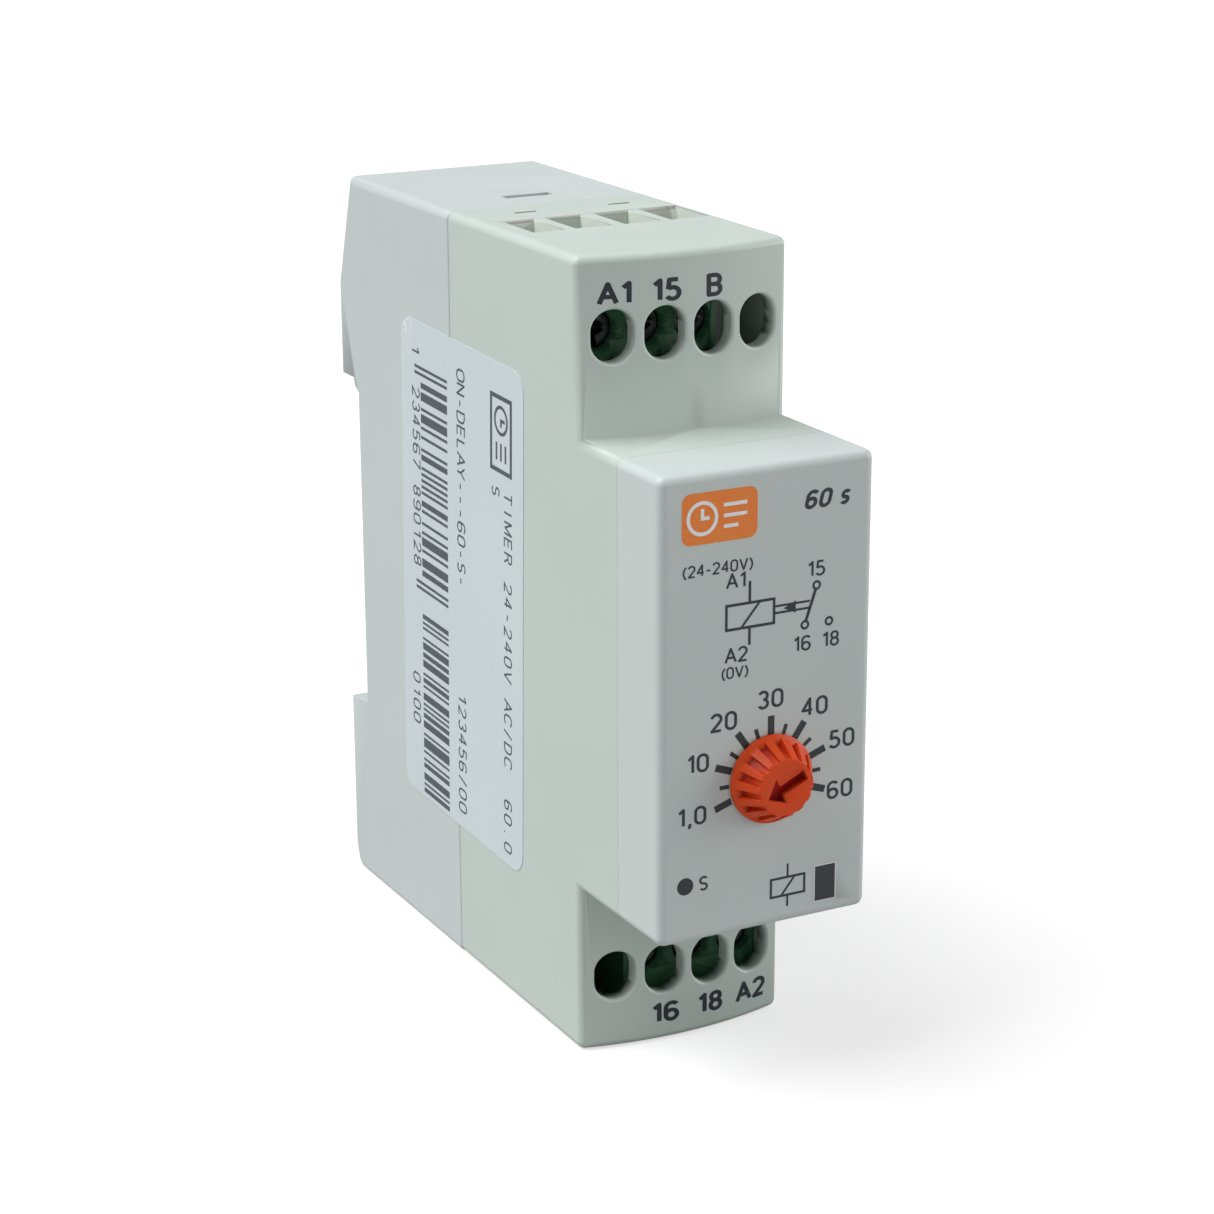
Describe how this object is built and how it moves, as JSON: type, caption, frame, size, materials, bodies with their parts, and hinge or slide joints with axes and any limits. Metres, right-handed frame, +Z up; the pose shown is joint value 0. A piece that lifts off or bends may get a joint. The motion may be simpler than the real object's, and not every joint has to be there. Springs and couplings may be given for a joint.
{
  "type": "din rail timer",
  "caption": "Narrow rail-mounted time relay: grey two-part casing with a stepped nose, orange dial on a printed scale, screw terminals above and below.",
  "frame": {"origin": "middle of the rail seat, on the flat wall that rests on the rail's front face", "axes": "+Y points back into the rail, +Z up along the casing, +X to the right seen from the front"},
  "size_m": [0.0226, 0.0754, 0.0792],
  "materials": {
    "rear_shell": "satin",
    "main_shell": "satin",
    "cap_shell": "satin",
    "smoked_window": "polished",
    "sticker_paper": "coated paper",
    "circuit_board": "solder mask",
    "black_plastic": "moulded",
    "tinned_metal": "tinned",
    "pot_plastic": "moulded",
    "lamp_resin": "tinted resin",
    "terminal_green": "moulded",
    "relay_shell": "moulded",
    "bobbin_plastic": "moulded",
    "copper_wire": "enamelled",
    "plated_steel": "zinc plated",
    "contact_brass": "bright",
    "capacitor_sleeve": "shrink sleeve",
    "film_capacitor_case": "moulded",
    "varistor_coat": "dipped",
    "resistor_body": "lacquered",
    "spring_steel": "bright",
    "orange_plastic": "satin",
    "clip_plastic": "moulded"
  },
  "bodies": {
    "casing": {"rear_housing": "rear_shell", "main_housing": "main_shell", "front_cap": "cap_shell", "led_window": "smoked_window", "side_sticker": "sticker_paper", "main_board": "circuit_board", "front_board": "circuit_board", "link_headers": "black_plastic", "link_pins": "tinned_metal", "pot_body": "pot_plastic", "status_lamp": "lamp_resin", "terminal_block_top": "terminal_green", "terminal_block_bottom": "terminal_green", "contact_bars_top": "tinned_metal", "contact_bars_bottom": "tinned_metal", "relay_base": "black_plastic", "relay_case": "relay_shell", "relay_bobbin": "bobbin_plastic", "relay_winding": "copper_wire", "relay_core": "plated_steel", "relay_yoke": "plated_steel", "relay_fixed_contacts": "contact_brass", "relay_pins": "tinned_metal", "supply_capacitor": "capacitor_sleeve", "film_capacitor": "film_capacitor_case", "varistor": "varistor_coat", "diodes": "black_plastic", "resistors": "resistor_body", "timing_chip": "black_plastic", "chip_leads": "tinned_metal", "clip_spring": "spring_steel"},
    "dial": {"dial_knob": "orange_plastic", "pot_rotor": "pot_plastic"},
    "clip": {"rail_clip": "clip_plastic"},
    "armature": {"relay_armature": "plated_steel", "relay_blade": "contact_brass"},
    "screw_a1": {"terminal_screw_a1": "plated_steel"},
    "clamp_a1": {"wire_clamp_a1": "plated_steel"},
    "screw_15": {"terminal_screw_15": "plated_steel"},
    "clamp_15": {"wire_clamp_15": "plated_steel"},
    "screw_b": {"terminal_screw_b": "plated_steel"},
    "clamp_b": {"wire_clamp_b": "plated_steel"},
    "screw_16": {"terminal_screw_16": "plated_steel"},
    "clamp_16": {"wire_clamp_16": "plated_steel"},
    "screw_18": {"terminal_screw_18": "plated_steel"},
    "clamp_18": {"wire_clamp_18": "plated_steel"},
    "screw_a2": {"terminal_screw_a2": "plated_steel"},
    "clamp_a2": {"wire_clamp_a2": "plated_steel"}
  },
  "joints": [
    {"name": "dial_turn", "type": "hinge", "parent": "casing", "child": "dial", "pos_m": [0.00042, -0.069, -0.00635], "axis": [0, 1, 0], "range_deg": [0, 230]},
    {"name": "clip_slide", "type": "slide", "parent": "casing", "child": "clip", "axis": [0, 0, -1], "range_m": [0, 0.003], "stiffness_N_per_m": 1500, "springref_m": -0.001, "deforming": ["clip_spring"]},
    {"name": "armature_hinge", "type": "hinge", "parent": "casing", "child": "armature", "pos_m": [0, -0.01728, 0.0008], "axis": [-1, 0, 0], "range_deg": [0, 4], "stiffness_Nm_per_rad": 0.02, "springref_deg": -2.86},
    {"name": "clamp_a1_rise", "type": "slide", "parent": "casing", "child": "clamp_a1", "axis": [0, -1, 0], "range_m": [0, 0.0025]},
    {"name": "screw_a1_turn", "type": "hinge", "parent": "casing", "child": "screw_a1", "pos_m": [-0.00762, -0.044, 0.03315], "axis": [0, 1, 0], "range_deg": [0, 2000]},
    {"name": "clamp_15_rise", "type": "slide", "parent": "casing", "child": "clamp_15", "axis": [0, -1, 0], "range_m": [0, 0.0025]},
    {"name": "screw_15_turn", "type": "hinge", "parent": "casing", "child": "screw_15", "pos_m": [-0.00254, -0.044, 0.03315], "axis": [0, 1, 0], "range_deg": [0, 2000]},
    {"name": "clamp_b_rise", "type": "slide", "parent": "casing", "child": "clamp_b", "axis": [0, -1, 0], "range_m": [0, 0.0025]},
    {"name": "screw_b_turn", "type": "hinge", "parent": "casing", "child": "screw_b", "pos_m": [0.00254, -0.044, 0.03315], "axis": [0, 1, 0], "range_deg": [0, 2000]},
    {"name": "clamp_16_rise", "type": "slide", "parent": "casing", "child": "clamp_16", "axis": [0, -1, 0], "range_m": [0, 0.0025]},
    {"name": "screw_16_turn", "type": "hinge", "parent": "casing", "child": "screw_16", "pos_m": [-0.00254, -0.044, -0.03075], "axis": [0, 1, 0], "range_deg": [0, 2000]},
    {"name": "clamp_18_rise", "type": "slide", "parent": "casing", "child": "clamp_18", "axis": [0, -1, 0], "range_m": [0, 0.0025]},
    {"name": "screw_18_turn", "type": "hinge", "parent": "casing", "child": "screw_18", "pos_m": [0.00254, -0.044, -0.03075], "axis": [0, 1, 0], "range_deg": [0, 2000]},
    {"name": "clamp_a2_rise", "type": "slide", "parent": "casing", "child": "clamp_a2", "axis": [0, -1, 0], "range_m": [0, 0.0025]},
    {"name": "screw_a2_turn", "type": "hinge", "parent": "casing", "child": "screw_a2", "pos_m": [0.00762, -0.044, -0.03075], "axis": [0, 1, 0], "range_deg": [0, 2000]}
  ],
  "couplings": [
    {"joint": "screw_a1_turn", "follows": "clamp_a1_rise", "rad_per_m": 13963},
    {"joint": "screw_15_turn", "follows": "clamp_15_rise", "rad_per_m": 13963},
    {"joint": "screw_b_turn", "follows": "clamp_b_rise", "rad_per_m": 13963},
    {"joint": "screw_16_turn", "follows": "clamp_16_rise", "rad_per_m": 13963},
    {"joint": "screw_18_turn", "follows": "clamp_18_rise", "rad_per_m": 13963},
    {"joint": "screw_a2_turn", "follows": "clamp_a2_rise", "rad_per_m": 13963}
  ]
}
